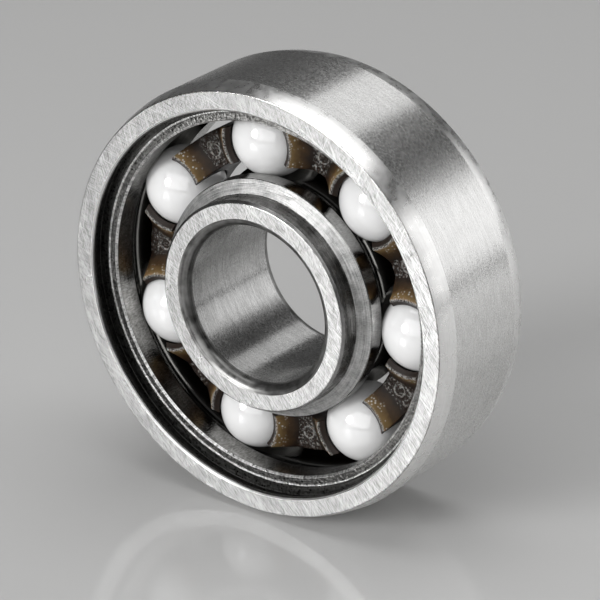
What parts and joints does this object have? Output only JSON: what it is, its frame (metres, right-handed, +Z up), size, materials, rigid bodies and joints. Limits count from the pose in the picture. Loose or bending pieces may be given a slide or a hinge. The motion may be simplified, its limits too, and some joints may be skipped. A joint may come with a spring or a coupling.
{
  "type": "ball bearing",
  "caption": "Open deep-groove ball bearing: steel inner and outer rings, white ceramic balls and a one-piece moulded crown cage; carries a rotating shaft in a housing.",
  "frame": {"origin": "centre of the bearing, on its axis and midway between the faces", "axes": "+Y along the bearing's axis, from the cage's open side towards its closed side; +Z up, with the bearing standing on its rim"},
  "size_m": [0.022, 0.007, 0.022],
  "materials": {
    "ring_steel": "hardened bearing steel with ground faces and polished raceways",
    "ball_ceramic": "polished white zirconia",
    "cage_polymer": "moulded dark brown polyamide, slightly translucent at thin edges"
  },
  "bodies": {
    "outer_ring": {"outer_ring": "ring_steel"},
    "inner_ring": {"inner_ring": "ring_steel"},
    "cage": {"cage": "cage_polymer"},
    "ball_1": {"ball_1": "ball_ceramic"},
    "ball_2": {"ball_2": "ball_ceramic"},
    "ball_3": {"ball_3": "ball_ceramic"},
    "ball_4": {"ball_4": "ball_ceramic"},
    "ball_5": {"ball_5": "ball_ceramic"},
    "ball_6": {"ball_6": "ball_ceramic"},
    "ball_7": {"ball_7": "ball_ceramic"}
  },
  "joints": [
    {"name": "inner_spin", "type": "hinge", "parent": "outer_ring", "child": "inner_ring", "pos_m": [0, 0, 0], "axis": [0, 1, 0], "continuous": true},
    {"name": "cage_spin", "type": "hinge", "parent": "outer_ring", "child": "cage", "pos_m": [0, 0, 0], "axis": [0, 1, 0], "continuous": true},
    {"name": "ball_1_spin", "type": "hinge", "parent": "cage", "child": "ball_1", "pos_m": [-0.00125, 0, 0.00739], "axis": [0, 1, 0], "continuous": true},
    {"name": "ball_2_spin", "type": "hinge", "parent": "cage", "child": "ball_2", "pos_m": [-0.00656, 0, 0.00363], "axis": [0, 1, 0], "continuous": true},
    {"name": "ball_3_spin", "type": "hinge", "parent": "cage", "child": "ball_3", "pos_m": [-0.00693, 0, -0.00286], "axis": [0, 1, 0], "continuous": true},
    {"name": "ball_4_spin", "type": "hinge", "parent": "cage", "child": "ball_4", "pos_m": [-0.00208, 0, -0.00721], "axis": [0, 1, 0], "continuous": true},
    {"name": "ball_5_spin", "type": "hinge", "parent": "cage", "child": "ball_5", "pos_m": [0.00434, 0, -0.00612], "axis": [0, 1, 0], "continuous": true},
    {"name": "ball_6_spin", "type": "hinge", "parent": "cage", "child": "ball_6", "pos_m": [0.00749, 0, -0.00043], "axis": [0, 1, 0], "continuous": true},
    {"name": "ball_7_spin", "type": "hinge", "parent": "cage", "child": "ball_7", "pos_m": [0.005, 0, 0.00559], "axis": [0, 1, 0], "continuous": true}
  ],
  "couplings": [
    {"joint": "cage_spin", "follows": "inner_spin", "ratio": 0.3677},
    {"joint": "ball_1_spin", "follows": "inner_spin", "ratio": -1.7573},
    {"joint": "ball_2_spin", "follows": "inner_spin", "ratio": -1.7573},
    {"joint": "ball_3_spin", "follows": "inner_spin", "ratio": -1.7573},
    {"joint": "ball_4_spin", "follows": "inner_spin", "ratio": -1.7573},
    {"joint": "ball_5_spin", "follows": "inner_spin", "ratio": -1.7573},
    {"joint": "ball_6_spin", "follows": "inner_spin", "ratio": -1.7573},
    {"joint": "ball_7_spin", "follows": "inner_spin", "ratio": -1.7573}
  ]
}
